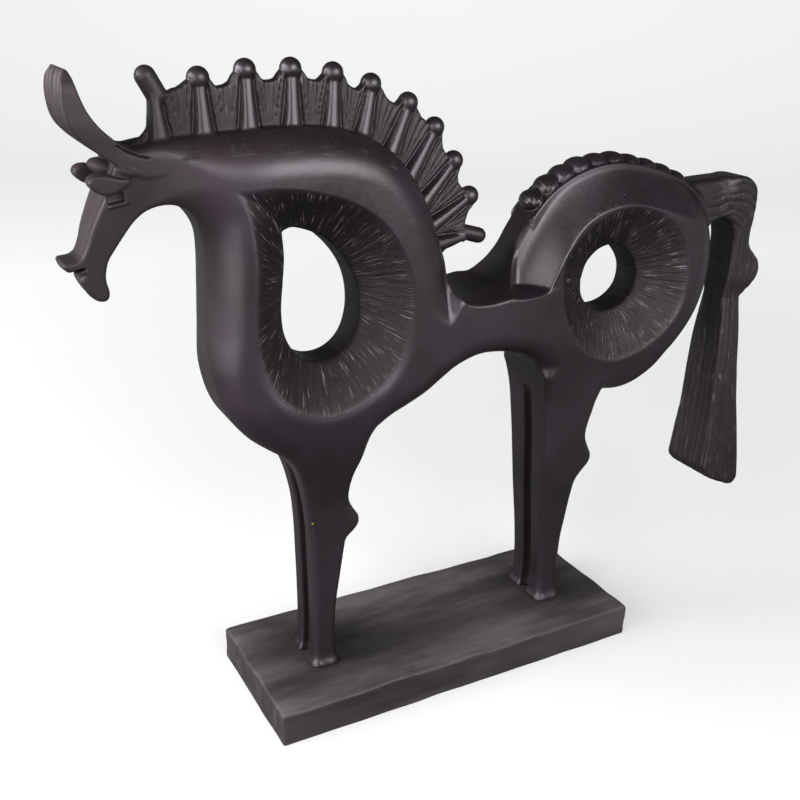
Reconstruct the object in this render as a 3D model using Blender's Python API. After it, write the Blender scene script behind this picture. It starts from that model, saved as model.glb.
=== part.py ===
"""Stylised horse statue: a pierced, slab-sided horse standing on a rectangular plinth.

The horse faces -X, its left side is -Y and +Z is up. The origin is the middle of the
plinth's underside. The horse is drawn in side view on a grid of units, x along its length
and z up from its feet, and the grid follows the horse's height. Widths across the horse
are real sizes of their own.
"""
import math

import bmesh
import bpy
import numpy as np
from mathutils import Matrix, Vector
from mathutils.geometry import delaunay_2d_cdt

# Plinth, in metres
PLINTH_LENGTH = 0.241
PLINTH_WIDTH = 0.0945
PLINTH_THICKNESS = 0.0215
PLINTH_EDGE = 0.0025
FIT_GAP = 0.0003

# Horse, in metres
HORSE_HEIGHT = 0.341
SHOULDER_WIDTH = 0.062
HAUNCH_WIDTH = 0.052
CREST_WIDTH = 0.021
HEAD_WIDTH = 0.033
SHOULDER_HOLE_WALL = 0.018
HAUNCH_HOLE_WALL = 0.019
FRONT_LEGS_WIDTH = 0.031
HIND_LEGS_WIDTH = 0.033
LEG_GROOVE_WIDTH = 0.0085
LEG_GROOVE_DEPTH = 0.007
LEG_BACK_GROOVE_DEPTH = 0.0035
MANE_WEB_WIDTH = 0.0096
MANE_PILLAR_RISE = 0.0022
KNOB_DIAMETER = 0.0118
FORELOCK_WIDTH = 0.037
TAIL_ROOT_WIDTH = 0.0232
TAIL_TIP_WIDTH = 0.0385
BEAD_WIDTH = 0.017

# The drawing grid: this many units from the underside of the feet to the tallest knob
DRAWN_HEIGHT = 340.9
UNIT = HORSE_HEIGHT / DRAWN_HEIGHT

# Fineness of the solid, in drawing units
OUTLINE_STEP = 3.5
SHEET_STEP = 4.5
VOXEL = 1.7
KEEP_SHARE = 0.0525

# Finish
HORSE_COLOUR = (0.035, 0.032, 0.034)
HORSE_ROUGHNESS = 0.34
PLINTH_COLOUR = (0.04, 0.037, 0.037)
PLINTH_ROUGHNESS = 0.42

# Side outline of head, body and legs as runs of points, which meet in sharp corners
SOLE = -6.0
HEAD_FRONT = [(-176, 301.5), (-179.4, 295), (-183.5, 284), (-187.4, 276), (-191.3, 267.4),
              (-194, 260), (-197, 255.4), (-203.6, 254.3)]
UPPER_LIP = [(-203.6, 254.3), (-205.3, 252.2), (-200.7, 248.4), (-195.2, 247.2)]
JAW_CHEST_SHIN = [(-195.2, 247.2), (-197, 244.8), (-195.7, 240.7), (-192.4, 234.8),
                  (-188, 230.9), (-183.6, 231.2), (-182.5, 235.5), (-184.2, 240.5),
                  (-184.5, 246), (-183, 251.5), (-179.9, 257.6), (-175.4, 264.5),
                  (-171, 270.8), (-165.8, 275), (-159, 277), (-152.5, 276.6),
                  (-146.5, 273.5), (-141.4, 267.5), (-138.6, 260), (-137.9, 250),
                  (-138.5, 232), (-139.4, 206), (-137.8, 186), (-132.2, 168),
                  (-122.3, 154.3), (-111.3, 145), (-101, 137.6), (-94.7, 127), (-90, 109),
                  (-87.7, 90), (-86.6, 62), (-85.8, 25), (-86.4, 8), (-88.8, SOLE)]
FRONT_SOLE = [(-88.8, SOLE), (-70.5, SOLE)]
FRONT_CANNON = [(-70.5, SOLE), (-72.2, 8), (-72.2, 35.5), (-69, 59.5), (-66.8, 74),
                (-65.4, 80.5), (-60.4, 85), (-57.7, 89), (-57.7, 93), (-61, 98.5),
                (-63.9, 105), (-63.4, 114), (-60.4, 125.5), (-55.5, 137), (-49, 148.6)]
BELLY_HIND_SHIN = [(-49, 148.6), (-42, 154), (-33, 158.7), (-22, 164.8), (-13, 171.3),
                   (-4, 177), (9.6, 181.4), (22.9, 181.2), (34, 179), (46, 175),
                   (53.8, 168.5), (58.6, 159), (61.4, 147), (63.5, 130), (65.2, 112),
                   (67.6, 74), (70.2, 43), (71.4, 22), (71, 8), (69.3, SOLE)]
HIND_SOLE = [(69.3, SOLE), (88, SOLE)]
HIND_CANNON = [(88, SOLE), (85.9, 8), (85.7, 20), (86.4, 45), (87.8, 56), (90.4, 76),
               (92.4, 84.5), (97, 90.5), (101.2, 95.5), (101.8, 100.5), (98.8, 107),
               (96, 114), (96.7, 123), (100, 132.3), (107.5, 141.6)]
HAUNCH_BACK_NECK = [(107.5, 141.6), (120, 140.6), (134.3, 142.7), (150.6, 149.3),
                    (163.6, 159.3), (174.2, 173.3), (182, 190), (186, 209), (185, 229),
                    (179.5, 245), (170, 257), (158.8, 265), (147.8, 269.8), (135.8, 273.8),
                    (121.8, 277.3), (109.6, 279), (97, 278.6), (84, 276), (72.2, 271.3),
                    (61.5, 264.4), (53.2, 256), (45.6, 245.6), (39.2, 234.5), (34, 224.4),
                    (28.5, 216.6), (20, 214.2), (10, 213.6), (2, 214.5), (-4, 217),
                    (-8, 222), (-9.8, 230), (-11, 240), (-15, 253), (-21, 268),
                    (-28, 280), (-36, 290.5), (-47, 299), (-60, 304), (-75, 307),
                    (-90, 308), (-104, 308), (-120, 307), (-136, 306.2), (-157, 304.8),
                    (-170, 302.4), (-176, 301.5)]

# Dish rims and the holes at the dishes' bottoms
SHOULDER_RIM_FRONT = [(-127, 283.2), (-122.5, 273), (-119.8, 259), (-118.9, 243),
                      (-120.2, 222), (-119.4, 202), (-114, 184.5), (-102.5, 171),
                      (-87, 163.6), (-72, 164), (-56, 171.6), (-42.5, 185.5),
                      (-35.6, 204), (-34.6, 225), (-40.5, 245.5), (-51.8, 262.3),
                      (-67.6, 273.6), (-87, 280.6), (-107, 284), (-127, 283.2)]
SHOULDER_HOLE = [(-98.5, 258.5), (-97.6, 246), (-98.6, 233), (-99.8, 217), (-97.8, 203.5),
                 (-91.6, 193.6), (-81.9, 188.5), (-70.5, 189.5), (-61.5, 196.5),
                 (-56.9, 209), (-57, 222.6), (-60.5, 234.3), (-67.5, 245),
                 (-77.4, 254.2), (-87.3, 258.8), (-94.5, 260.2), (-98.5, 258.5)]
HAUNCH_RIM = [(60.7, 222), (64, 202.5), (73.6, 183.2), (88, 169.8), (108.3, 163),
              (129.2, 167.8), (145.7, 179.1), (155.4, 194), (157, 213), (151.6, 232.6),
              (139, 247.2), (120.5, 256), (101.5, 257), (84, 250.9), (70.5, 241),
              (62.8, 231.5), (60.7, 222)]
HAUNCH_HOLE = [(88.4, 212.6), (91.8, 222.8), (100.4, 229.9), (110.7, 231.3), (121, 226.6),
               (129.6, 214.3), (128.4, 201.7), (119, 193.6), (106.2, 191.7),
               (95.2, 196.6), (89.6, 204), (88.4, 212.6)]
HAUNCH_CENTRE = (115, 213)

# Mane: the knobs' centres, the dips of the web between them and the pillars' feet
KNOBS = [(-156.6, 331.6), (-134.4, 331.2), (-111.8, 334.2), (-88.9, 334.3), (-66.9, 331.8),
         (-46.2, 326.1), (-25.1, 316.4), (-9, 303.5), (3.3, 285.6), (14, 266.1),
         (18, 245.2)]
WEB_DIPS = [(-144.3, 327.6), (-123.5, 327.8), (-100.8, 329.5), (-77.8, 329.1),
            (-56.4, 324.8), (-35.2, 317.4), (-17.7, 309.3), (-4.2, 292.9), (6.2, 274.4),
            (12.4, 256)]
PILLAR_FEET = [(-154.5, 304), (-133.5, 306), (-111.5, 307), (-89.5, 307.5), (-69, 305),
               (-52.5, 300), (-37, 290.5), (-26, 277), (-18.5, 262.5), (-14, 250),
               (-11.5, 241)]
WEB_FRONT = [(-172, 298.5), (-168, 303.2), (-162.3, 306.6), (-159.3, 312), (-158.1, 319),
             (-158.3, 326.6)]
WEB_REAR = [(10, 241.8), (2, 238.7), (-4.5, 234.6), (-12, 229)]
WEB_ROOT = [(-20, 250), (-28, 266), (-38, 280), (-52, 290), (-70, 296), (-100, 299),
            (-140, 298), (-172, 297)]
PILLAR_REACH = 3
STEM_TOP = 5.2
STEM_HALF_WIDTH = 2.6
FIRST_KNOB_TIP = (-159.4, 334.4)
LAST_KNOB_TIP = (22, 243.1)

# Forelock and tail
FORELOCK = [(-196.6, 337.8), (-198.4, 334.6), (-199.3, 330), (-199.5, 325), (-198.9, 318.9),
            (-197.3, 313.8), (-193.9, 309.2), (-188.5, 304.3), (-182.6, 299.9),
            (-176, 295.2), (-166, 290.5), (-156, 292), (-152, 297), (-160, 300.2),
            (-168, 301.8), (-173.9, 304.7), (-179.8, 309.2), (-185.1, 314.5),
            (-188.6, 319.6), (-190.8, 324.6), (-192.5, 329.8), (-193.6, 334.2),
            (-194.8, 337), (-196.6, 337.8)]
TAIL_BACK = [(150, 250), (152, 262), (165, 263.6), (200, 265), (213.5, 263.8),
             (221, 257.6), (222.8, 247), (221.6, 221), (227, 214.4), (232, 208.8),
             (233.4, 201.5), (229.8, 194), (221, 185.5)]
TAIL_FALL = [(221, 185.5), (222, 168), (223, 148), (227.6, 110.5), (234.6, 61),
             (234.6, 54.4), (229.8, 50.4), (222, 53), (206, 61), (202, 66.4),
             (202.4, 74), (204, 100), (204.6, 140), (205.7, 185), (207, 215),
             (206, 229), (201, 237), (194.5, 239.6), (187, 237.5), (176, 228),
             (160, 228), (150, 250)]

# Crest beads: where their tops lie
BEAD_TOPS = [(52.5, 264.5), (62.1, 271.9), (72.6, 277.6), (84, 281.9), (97, 283.6),
             (109.6, 284.2), (122.4, 282), (135.4, 278.8), (147.8, 274.9),
             (159.4, 270.2)]
BEAD_HALF_LENGTH = 7.2
BEAD_HALF_HEIGHT = 5.6

# Grooves between the legs of a pair: how high they reach, their run-out and overcut
FRONT_GROOVE_TOP = 131
FRONT_BACK_GROOVE_TOP = 76
HIND_GROOVE_TOP = 158
HIND_BACK_GROOVE_TOP = 86
GROOVE_RUN_OUT = 22
GROOVE_OVERCUT = 5

# Brows and eyes: centre in side view, half sizes along the head, up, and across, and tilt
BROW = ((-182.6, 290.2), (9.2, 4.0), 4.6, 0.08)
EYE = ((-178.6, 281.6), (4.6, 2.7), 3.4, 0.5)
BROW_SUNK = 0.75

# Radii of the edges where the flanks turn over, in drawing units
HEAD_EDGE = 4
NECK_EDGE = 20
CHEST_EDGE = 18
FLANK_EDGE = 13
SADDLE_EDGE = 2.2
RUMP_EDGE = 24
LEG_EDGE = 4
CREST_EDGE = 2
COVE_REACH = 21
WEB_EDGE = 2
FORELOCK_EDGE = 2.6
TAIL_EDGE = 5
THINNEST = 0.6


def curve_through(points, closed_step):
    """Evenly spaced points on a smooth curve through the given ones, ends included."""
    knots = np.array(points, float)
    before = 2 * knots[:1] - knots[1:2]
    after = 2 * knots[-1:] - knots[-2:-1]
    padded = np.concatenate([before, knots, after])
    dense = []
    for start in range(len(knots) - 1):
        p0, p1, p2, p3 = padded[start:start + 4]
        gaps = [max(float(np.hypot(*(b - a))) ** 0.5, 1e-6)
                for a, b in ((p0, p1), (p1, p2), (p2, p3))]
        m1 = (p1 - p0) / gaps[0] - (p2 - p0) / (gaps[0] + gaps[1]) + (p2 - p1) / gaps[1]
        m2 = (p2 - p1) / gaps[1] - (p3 - p1) / (gaps[1] + gaps[2]) + (p3 - p2) / gaps[2]
        m1, m2 = m1 * gaps[1], m2 * gaps[1]
        for t in np.linspace(0, 1, 12, endpoint=False):
            dense.append((2 * t**3 - 3 * t**2 + 1) * p1 + (t**3 - 2 * t**2 + t) * m1
                         + (3 * t**2 - 2 * t**3) * p2 + (t**3 - t**2) * m2)
    dense = np.array(dense + [knots[-1]])
    reach = np.concatenate([[0], np.cumsum(np.hypot(*np.diff(dense, axis=0).T))])
    count = max(2, int(round(reach[-1] / closed_step)) + 1)
    even = np.linspace(0, reach[-1], count)
    return np.stack([np.interp(even, reach, dense[:, axis]) for axis in (0, 1)], 1)


def loop_through(*runs):
    """A closed loop of points along runs that meet in corners."""
    return np.concatenate([curve_through(run, OUTLINE_STEP)[:-1] for run in runs])


def signed_distance(points, loop):
    """Distance of each point from a closed loop, negative inside it."""
    start = loop[None]
    edge = (np.roll(loop, -1, axis=0) - loop)[None]
    offset = points[:, None] - start
    along = np.clip((offset * edge).sum(-1) / (edge**2).sum(-1), 0, 1)
    distance = np.sqrt(((offset - along[..., None] * edge) ** 2).sum(-1)).min(1)
    below = start[..., 1] > points[:, None, 1]
    above = start[..., 1] + edge[..., 1] > points[:, None, 1]
    rise = np.where(edge[..., 1] == 0, 1e-12, edge[..., 1])
    crossing = start[..., 0] - (start[..., 1] - points[:, None, 1]) * edge[..., 0] / rise
    hits = (below != above) & (points[:, None, 0] < crossing)
    return np.where(hits.sum(1) % 2 == 1, -distance, distance)


def ease(value, low, high):
    """0 below low, 1 above high, smooth between; low may be the larger."""
    share = np.clip((value - low) / (high - low), 0, 1)
    return share * share * (3 - 2 * share)


def rounded(half_width, radius, inset):
    """Half width of a slab whose edge has a radius, at a depth inside its outline."""
    radius = np.minimum(radius, half_width - THINNEST)
    reach = np.clip(radius - inset, 0, radius)
    return half_width - radius + np.sqrt(radius**2 - reach**2)


def slab(solid, loop, half_width, holes=(), creases=()):
    """Add a closed body with the loop as side view and a half width at each point.

    half_width takes the points and their depth inside the loop, in drawing units. Edges
    of the mesh follow the creases.
    """
    low, high = loop.min(0), loop.max(0)
    grid = np.stack(np.meshgrid(np.arange(low[0], high[0], SHEET_STEP),
                                np.arange(low[1], high[1], SHEET_STEP)), -1).reshape(-1, 2)
    rings = [grid[signed_distance(grid, loop) < -0.7 * SHEET_STEP]]
    tangent = np.roll(loop, -1, axis=0) - np.roll(loop, 1, axis=0)
    normal = np.stack([-tangent[:, 1], tangent[:, 0]], 1) / np.hypot(*tangent.T)[:, None]
    for inset in (0.5, 1.4, 3.0):
        for side in (-inset, inset):
            ring = loop + side * normal
            depth = -signed_distance(ring, loop)
            rings.append(ring[depth > 0.9 * inset])
    inner = np.concatenate(rings)
    for hole in holes:
        inner = inner[signed_distance(inner, hole) > 0.4 * SHEET_STEP]
    for crease in creases:
        inner = inner[np.abs(signed_distance(inner, crease)) > 0.3 * SHEET_STEP]
    flat = [loop, *holes, *creases, inner]
    bounds = []
    first = 0
    for ring in (loop, *holes, *creases):
        count = len(ring)
        bounds += [(first + i, first + (i + 1) % count) for i in range(count)]
        first += count
    spots = [Vector(p) for p in np.concatenate(flat)]
    points, _, faces, *_ = delaunay_2d_cdt(spots, bounds, [], 1, 1e-5)
    points = np.array([tuple(p) for p in points])
    middles = np.array([points[list(face)].mean(0) for face in faces])
    kept = signed_distance(middles, loop) < 0
    for hole in holes:
        kept &= signed_distance(middles, hole) > 0
    depth = np.maximum(-signed_distance(points, loop), 0)
    width = np.maximum(half_width(points, depth), THINNEST)
    sheet = bmesh.new()
    verts = [sheet.verts.new((x * UNIT, -w * UNIT, z * UNIT)) for (x, z), w in zip(points, width)]
    for face, keep in zip(faces, kept):
        if keep:
            sheet.faces.new([verts[i] for i in face])
    loose = [vert for vert in sheet.verts if not vert.link_faces]
    bmesh.ops.delete(sheet, geom=loose, context="VERTS")
    far = bmesh.ops.extrude_face_region(sheet, geom=sheet.faces[:], use_keep_orig=True)
    for item in far["geom"]:
        if isinstance(item, bmesh.types.BMVert):
            item.co.y = -item.co.y
    bmesh.ops.recalc_face_normals(sheet, faces=sheet.faces[:])
    add_to(solid, sheet)


def add_to(solid, extra):
    """Move the faces of one bmesh into another."""
    mesh = bpy.data.meshes.new("passing")
    extra.to_mesh(mesh)
    extra.free()
    solid.from_mesh(mesh)
    bpy.data.meshes.remove(mesh)


def place(x, y, z):
    """Matrix that moves to a point given in drawing units, y across in metres."""
    return Matrix.Translation((x * UNIT, y, z * UNIT))


def ellipsoid(solid, centre, y, half_sizes, half_across, tilt=0.0):
    """Add an ellipsoid: centre and half sizes in side view, half size across, tilt in radians."""
    shape = Matrix.Diagonal((half_sizes[0] * UNIT, half_across, half_sizes[1] * UNIT, 1))
    matrix = place(centre[0], y, centre[1]) @ Matrix.Rotation(-tilt, 4, "Y") @ shape
    bmesh.ops.create_uvsphere(solid, u_segments=16, v_segments=10, radius=1, matrix=matrix)


def body_half_width(points, depth):
    """Half width of head, body and legs, with both dishes, in drawing units."""
    x, z = points.T
    head = HEAD_WIDTH / 2 / UNIT
    shoulder = SHOULDER_WIDTH / 2 / UNIT
    haunch = HAUNCH_WIDTH / 2 / UNIT
    front = ease(x, -168, -98)
    back = ease(x, 30, 84)
    full = head + (shoulder - head) * front + (haunch - shoulder) * back
    full -= 0.09 * head * ease(z, 262, 240) * ease(x, -170, -178)
    fore_leg = FRONT_LEGS_WIDTH / 2 / UNIT * (1 + 0.3 * ease(z, 100, 145))
    hind_leg = HIND_LEGS_WIDTH / 2 / UNIT * (1 + 0.3 * ease(z, 20, 150))
    rear_part = ease(x, -10, 20)
    leg = fore_leg + (hind_leg - fore_leg) * rear_part
    full = leg + (full - leg) * ease(z, 118 + 16 * rear_part, 176 + 14 * rear_part)

    edge = HEAD_EDGE + (NECK_EDGE - HEAD_EDGE) * ease(x, -160, -105)
    edge += (CHEST_EDGE - edge) * ease(x, -112, -124) * ease(z, 272, 258)
    edge += (FLANK_EDGE - edge) * ease(z, 215, 190)
    edge += (SADDLE_EDGE - edge) * ease(x, -14, -4) * ease(x, 70, 40) * ease(z, 195, 205)
    edge += (RUMP_EDGE - edge) * ease(x, 104, 130) * ease(z, 140, 165)
    on_leg = np.maximum(ease(z, 148, 128), ease(z, 168, 158) * ease(x, 40, 50) * ease(x, 95, 80))
    edge += (LEG_EDGE - edge) * on_leg
    plain = rounded(full, edge, depth)

    angle = np.degrees(np.arctan2(z - HAUNCH_CENTRE[1], x - HAUNCH_CENTRE[0]))
    crest = ease(angle, 12, 62) * ease(x, 20, 42)
    share = np.clip(depth / COVE_REACH, 0, 1)
    band = CREST_WIDTH / 2 / UNIT
    power = 1.25 + 0.7 * ease(x, 75, 45)
    cove = rounded(band, CREST_EDGE, depth) + (full - band) * share**power
    width = plain + (np.minimum(cove, plain) - plain) * crest

    for rim, hole, wall in ((shoulder_rim, shoulder_hole, SHOULDER_HOLE_WALL),
                            (haunch_rim, haunch_hole, HAUNCH_HOLE_WALL)):
        inside = -signed_distance(points, rim)
        outside = np.maximum(signed_distance(points, hole), 0)
        slope = np.clip(outside / np.maximum(outside + inside, 0.01), 0, 1)
        floor = wall / 2 / UNIT
        dish = floor + (full - floor) * slope**0.92
        width = np.where(inside > 0, np.minimum(width, dish), width)
    return width


def web_half_width(points, depth):
    """Half width of the mane: a web with an upright pillar under each knob."""
    web = rounded(MANE_WEB_WIDTH / 2 / UNIT, WEB_EDGE, depth)
    rise = np.zeros(len(points))
    for top, foot in zip(KNOBS, PILLAR_FEET):
        top, foot = np.array(top), np.array(foot)
        line = foot - top
        share = np.clip(((points - top) @ line) / (line @ line), 0, 1)
        gap = np.hypot(*(points - top - share[:, None] * line).T)
        rise = np.maximum(rise, np.exp(-((gap / PILLAR_REACH) ** 2)))
    return web + MANE_PILLAR_RISE / UNIT * rise


def forelock_half_width(points, depth):
    """Half width of the forelock, narrower at its rounded tip."""
    full = FORELOCK_WIDTH / 2 / UNIT * (1 - 0.28 * ease(points[:, 1], 328, 339) ** 2)
    return rounded(full, FORELOCK_EDGE, depth)


def tail_half_width(points, depth):
    """Half width of the tail, which spreads towards its tip."""
    root = TAIL_ROOT_WIDTH / 2 / UNIT
    tip = TAIL_TIP_WIDTH / 2 / UNIT
    spread = np.clip((186 - points[:, 1]) / (186 - 58), 0, 1) ** 0.75
    waist = 0.12 * root * ease(points[:, 1], 200, 186) * ease(points[:, 1], 150, 186)
    return rounded(root + (tip - root) * spread - waist, TAIL_EDGE, depth)


def web_outline():
    """Closed outline of the mane web, which rises to each knob and dips between them."""
    stems = []
    for knob, foot in zip(KNOBS, PILLAR_FEET):
        drop = np.array(foot) - np.array(knob)
        drop = drop / np.hypot(*drop)
        centre = np.array(knob) + STEM_TOP * drop
        across = STEM_HALF_WIDTH * np.array([-drop[1], drop[0]])
        stems.append((tuple(centre - across), tuple(centre + across)))
    top = [WEB_FRONT[-1], stems[0][1]]
    for dip, stem in zip(WEB_DIPS, stems[1:]):
        top += [dip, *stem]
    root = [WEB_REAR[-1], *WEB_ROOT, WEB_FRONT[0]]
    return loop_through(WEB_FRONT, top, [top[-1], *WEB_REAR], root)


def groove(solid, edge_run, high, inward, groove_depth):
    """Add a cutter for the groove that parts a pair of legs along one edge, up to a height."""
    line = curve_through(edge_run, OUTLINE_STEP)
    line = line[line[:, 1] < high]
    line = line[np.argsort(line[:, 1])]
    reach = groove_depth / UNIT
    taper = ease(line[:, 1], high, high - GROOVE_RUN_OUT)
    inner = line + np.stack([inward * reach * taper, 0 * taper], 1)
    outer = line[::-1] - np.array([inward * GROOVE_OVERCUT, 0])
    loop = np.concatenate([inner, outer])
    half = LEG_GROOVE_WIDTH / 2 / UNIT

    def half_width(points, depth):
        into = inward * (points[:, 0] - np.interp(points[:, 1], line[:, 1], line[:, 0]))
        share = np.clip(into / reach, 0, 1)
        return half * np.sqrt(1 - 0.96 * share**2)

    slab(solid, loop, half_width)


def knob_tip(solid, start, end, radius):
    """Add a short round finger from one point to another in side view."""
    middle = ((start[0] + end[0]) / 2, (start[1] + end[1]) / 2)
    run, rise = end[0] - start[0], end[1] - start[1]
    half = math.hypot(run, rise) / 2 + radius
    ellipsoid(solid, middle, 0, (half, radius), radius * UNIT, math.atan2(rise, run))


def new_object(name, solid, colour, roughness):
    """Make an object with its own material from a bmesh."""
    mesh = bpy.data.meshes.new(name)
    solid.to_mesh(mesh)
    solid.free()
    thing = bpy.data.objects.new(name, mesh)
    bpy.context.scene.collection.objects.link(thing)
    material = bpy.data.materials.new(name)
    material.use_nodes = True
    shader = material.node_tree.nodes["Principled BSDF"]
    shader.inputs["Base Color"].default_value = (*colour, 1)
    shader.inputs["Roughness"].default_value = roughness
    shader.inputs["Metallic"].default_value = 0.0
    mesh.materials.append(material)
    return thing


def finished(thing):
    """The mesh of an object with its modifiers, as a bmesh; the object is removed."""
    bpy.context.view_layer.update()
    solid = bmesh.new()
    solid.from_object(thing, bpy.context.evaluated_depsgraph_get())
    bpy.data.objects.remove(thing, do_unlink=True)
    return solid


def build_body():
    """Head, body and legs: one pierced slab, with the legs grooved and the eyes sunk."""
    solid = bmesh.new()
    body = loop_through(HEAD_FRONT, UPPER_LIP, JAW_CHEST_SHIN, FRONT_SOLE, FRONT_CANNON,
                        BELLY_HIND_SHIN, HIND_SOLE, HIND_CANNON, HAUNCH_BACK_NECK)
    slab(solid, body, body_half_width, (shoulder_hole, haunch_hole),
         (shoulder_rim, haunch_rim))
    thing = new_object("body", solid, HORSE_COLOUR, HORSE_ROUGHNESS)

    cuts = bmesh.new()
    groove(cuts, JAW_CHEST_SHIN, FRONT_GROOVE_TOP, 1, LEG_GROOVE_DEPTH)
    groove(cuts, FRONT_CANNON, FRONT_BACK_GROOVE_TOP, -1, LEG_BACK_GROOVE_DEPTH)
    groove(cuts, BELLY_HIND_SHIN, HIND_GROOVE_TOP, 1, LEG_GROOVE_DEPTH)
    groove(cuts, HIND_CANNON, HIND_BACK_GROOVE_TOP, -1, LEG_BACK_GROOVE_DEPTH)
    for side in (-1, 1):
        centre, half_sizes, across, tilt = EYE
        ellipsoid(cuts, centre, side * HEAD_WIDTH / 2, half_sizes, across * UNIT, tilt)
    tool = new_object("grooves and eyes", cuts, HORSE_COLOUR, HORSE_ROUGHNESS)
    cut = thing.modifiers.new("cut", "BOOLEAN")
    cut.operation = "DIFFERENCE"
    cut.object = tool
    cut.solver = "EXACT"
    solid = finished(thing)
    bpy.data.objects.remove(tool, do_unlink=True)
    return solid


def build_horse():
    """The horse: every limb fused into one casting and cut flat under the feet."""
    solid = build_body()
    slab(solid, web_outline(), web_half_width)
    slab(solid, loop_through(FORELOCK), forelock_half_width)
    slab(solid, loop_through(TAIL_BACK, TAIL_FALL), tail_half_width)

    knob = KNOB_DIAMETER / 2
    for centre in KNOBS[1:-1]:
        ellipsoid(solid, centre, 0, (knob / UNIT, knob / UNIT), knob)
    knob_tip(solid, KNOBS[0], FIRST_KNOB_TIP, 0.74 * knob / UNIT)
    knob_tip(solid, (10, 246.6), LAST_KNOB_TIP, 0.72 * knob / UNIT)

    band = np.array(BEAD_TOPS)
    lean = np.arctan2(np.gradient(band[:, 1]), np.gradient(band[:, 0]))
    for (x, z), tilt in zip(band, lean):
        centre = (x + BEAD_HALF_HEIGHT * math.sin(tilt), z - BEAD_HALF_HEIGHT * math.cos(tilt))
        ellipsoid(solid, centre, 0, (BEAD_HALF_LENGTH, BEAD_HALF_HEIGHT), BEAD_WIDTH / 2, tilt)

    for side in (-1, 1):
        centre, half_sizes, across, tilt = BROW
        y = side * (HEAD_WIDTH / 2 - BROW_SUNK * across * UNIT)
        ellipsoid(solid, centre, y, half_sizes, across * UNIT, tilt)

    rough = new_object("rough casting", solid, HORSE_COLOUR, HORSE_ROUGHNESS)
    fuse = rough.modifiers.new("fuse", "REMESH")
    fuse.mode = "VOXEL"
    fuse.voxel_size = VOXEL * UNIT
    relax = rough.modifiers.new("relax", "SMOOTH")
    relax.factor = 0.5
    relax.iterations = 2
    thin = rough.modifiers.new("thin", "DECIMATE")
    thin.ratio = KEEP_SHARE
    casting = finished(rough)

    bmesh.ops.bisect_plane(casting, geom=casting.verts[:] + casting.edges[:] + casting.faces[:],
                           dist=1e-7, plane_co=(0, 0, FIT_GAP), plane_no=(0, 0, -1),
                           clear_outer=True)
    rims = [edge for edge in casting.edges if edge.is_boundary]
    bmesh.ops.holes_fill(casting, edges=rims, sides=0)
    horse = new_object("horse", casting, HORSE_COLOUR, HORSE_ROUGHNESS)
    horse.data.shade_smooth()
    horse.location.z = PLINTH_THICKNESS
    return horse


def build_plinth():
    """The plinth: a rectangular plank with softened edges."""
    solid = bmesh.new()
    size = Matrix.Diagonal((PLINTH_LENGTH, PLINTH_WIDTH, PLINTH_THICKNESS, 1))
    centre = Matrix.Translation((0, 0, PLINTH_THICKNESS / 2))
    bmesh.ops.create_cube(solid, size=1, matrix=centre @ size)
    bmesh.ops.bevel(solid, geom=solid.edges[:], offset=PLINTH_EDGE, segments=3,
                    profile=0.5, affect="EDGES")
    return new_object("plinth", solid, PLINTH_COLOUR, PLINTH_ROUGHNESS)


for old in list(bpy.data.objects):
    bpy.data.objects.remove(old, do_unlink=True)

shoulder_rim = loop_through(SHOULDER_RIM_FRONT)
shoulder_hole = loop_through(SHOULDER_HOLE)
haunch_rim = loop_through(HAUNCH_RIM)
haunch_hole = loop_through(HAUNCH_HOLE)
build_horse()
build_plinth()
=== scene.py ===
"""Looks of the horse statue: fine surface, satin black finish, pale studio and camera.

The horse is worked out as a field on a grid, in millimetres: x along the horse, y across
it and z up from the top of the plinth. A point is inside where the field is negative.
"""
import math

import bmesh
import bpy
import numpy as np
from mathutils import Matrix, Vector


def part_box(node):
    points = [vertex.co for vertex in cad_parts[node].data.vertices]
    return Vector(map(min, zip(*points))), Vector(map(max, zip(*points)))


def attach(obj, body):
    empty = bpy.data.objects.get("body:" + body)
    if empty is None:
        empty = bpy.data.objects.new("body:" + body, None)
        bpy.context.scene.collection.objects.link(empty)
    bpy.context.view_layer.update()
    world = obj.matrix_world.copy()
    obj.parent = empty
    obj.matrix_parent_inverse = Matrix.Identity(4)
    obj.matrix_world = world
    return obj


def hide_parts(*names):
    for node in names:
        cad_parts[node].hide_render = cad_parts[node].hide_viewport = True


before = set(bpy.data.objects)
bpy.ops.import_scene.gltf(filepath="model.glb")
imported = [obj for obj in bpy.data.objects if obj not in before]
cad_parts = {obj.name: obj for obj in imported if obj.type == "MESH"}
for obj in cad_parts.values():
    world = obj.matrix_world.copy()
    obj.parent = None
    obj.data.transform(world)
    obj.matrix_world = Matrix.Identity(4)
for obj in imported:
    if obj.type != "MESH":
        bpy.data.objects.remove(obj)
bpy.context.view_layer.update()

MM = 0.001
PLINTH_LOW, PLINTH_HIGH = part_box("plinth")
HORSE_LOW, HORSE_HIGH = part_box("horse")
PLINTH_TOP = PLINTH_HIGH.z

# Spacing of the grids, how many cells they reach past each piece, and the cap of each mesh
HORSE_STEP = 0.72
PLINTH_STEP = 1.05
MARGIN = 3.3
MOST_TRIANGLES = 192000

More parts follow.
